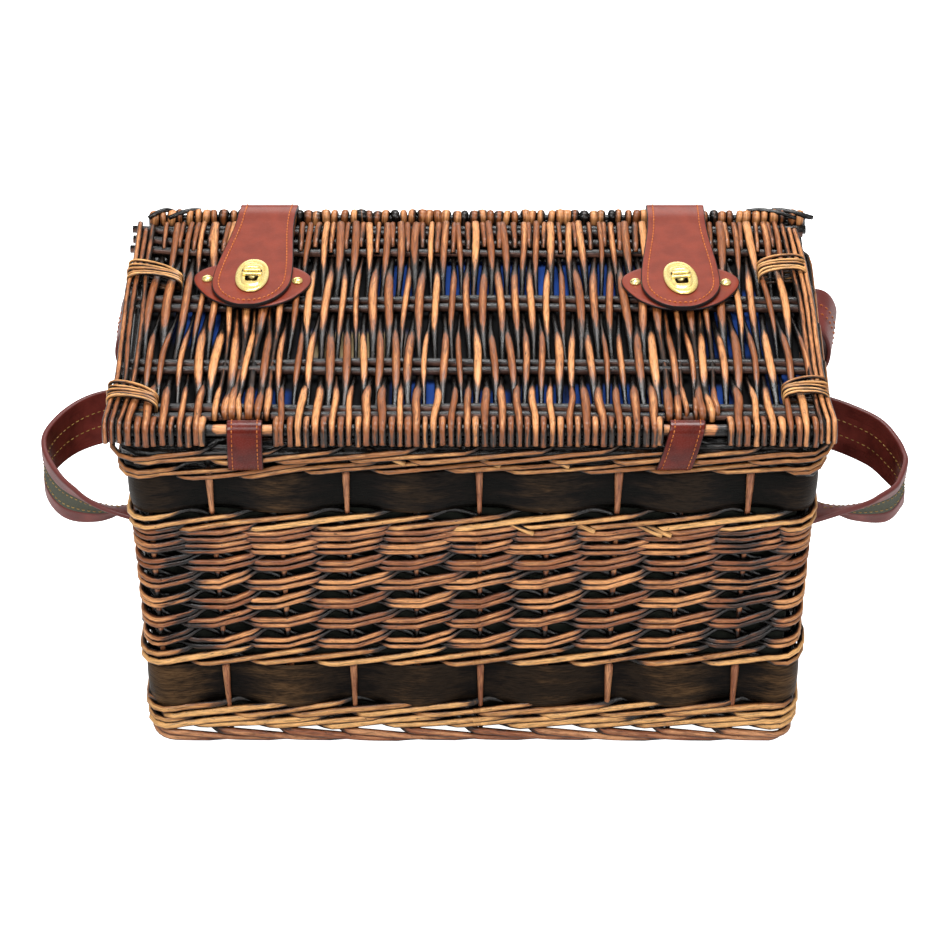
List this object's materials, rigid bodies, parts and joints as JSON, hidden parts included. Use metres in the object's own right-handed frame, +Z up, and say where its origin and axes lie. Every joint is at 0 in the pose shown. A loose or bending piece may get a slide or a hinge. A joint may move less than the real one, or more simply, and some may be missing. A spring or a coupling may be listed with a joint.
{
  "type": "wicker picnic basket",
  "caption": "Rectangular woven willow picnic hamper with a hinged wicker lid, leather closure straps with turn locks and leather side handles.",
  "frame": {"origin": "on the floor, under the middle of the whole basket's box", "axes": "+X along the length to the right seen from the hinge side, +Y from the hinge side to the lock side, +Z up"},
  "size_m": [0.5929, 0.2707, 0.2908],
  "materials": {
    "willow": "dark-stained willow, rubbed back to honey on the raised rods, satin",
    "dark_willow": "dark-stained willow, satin",
    "chip_wood": "near-black stained wood chip, satin",
    "strap_leather": "maroon leather, semi-gloss, stitched",
    "dark_leather": "dark maroon leather with a sheen",
    "brass": "polished pale brass",
    "blue_cloth": "plain woven cotton",
    "olive_cloth": "plain woven canvas"
  },
  "bodies": {
    "basket": {"foot_border": "willow", "base_panel": "willow", "bottom_wale": "willow", "lower_chip_band": "chip_wood", "lower_mid_wale": "willow", "randing_wall": "willow", "upper_mid_wale": "willow", "upper_chip_band": "chip_wood", "top_wale": "willow", "wall_lining": "olive_cloth", "hinge_loop_left": "dark_leather", "hinge_loop_right": "dark_leather", "handle_left": "strap_leather", "handle_right": "strap_leather", "side_loop_left": "strap_leather", "side_loop_right": "strap_leather"},
    "lid": {"lid_panel": "willow", "lid_front_rod": "willow", "lid_far_rail": "willow", "lid_lining": "blue_cloth", "lid_cross_rod_1": "dark_willow", "lid_cross_rod_2": "dark_willow", "lid_cross_rod_3": "dark_willow", "lid_cross_rod_4": "dark_willow", "lid_cross_rod_5": "dark_willow", "lid_cross_rod_6": "dark_willow", "lid_cross_rod_7": "dark_willow", "lid_cross_rod_8": "dark_willow", "lid_cross_rod_9": "dark_willow", "side_bundle_left": "willow", "side_rod_left": "willow", "binding_left_far": "willow", "binding_left_near": "willow", "lock_patch_left": "strap_leather", "patch_screw_left_1": "brass", "patch_screw_left_2": "brass", "closure_strap_left": "strap_leather", "lock_plate_left": "brass", "side_bundle_right": "willow", "side_rod_right": "willow", "binding_right_far": "willow", "binding_right_near": "willow", "lock_patch_right": "strap_leather", "patch_screw_right_1": "brass", "patch_screw_right_2": "brass", "closure_strap_right": "strap_leather", "lock_plate_right": "brass"},
    "turn_left": {"turn_button_left": "brass"},
    "turn_right": {"turn_button_right": "brass"}
  },
  "joints": [
    {"name": "lid_hinge", "type": "hinge", "parent": "basket", "child": "lid", "pos_m": [0, -0.12585, 0.2695], "axis": [1, 0, 0], "range_deg": [0, 100]},
    {"name": "turn_left_spin", "type": "hinge", "parent": "lid", "child": "turn_left", "pos_m": [-0.149, 0.03315, 0.285], "axis": [0, 0, 1], "range_deg": [0, 90]},
    {"name": "turn_right_spin", "type": "hinge", "parent": "lid", "child": "turn_right", "pos_m": [0.141, 0.03015, 0.285], "axis": [0, 0, 1], "range_deg": [0, 90]}
  ]
}
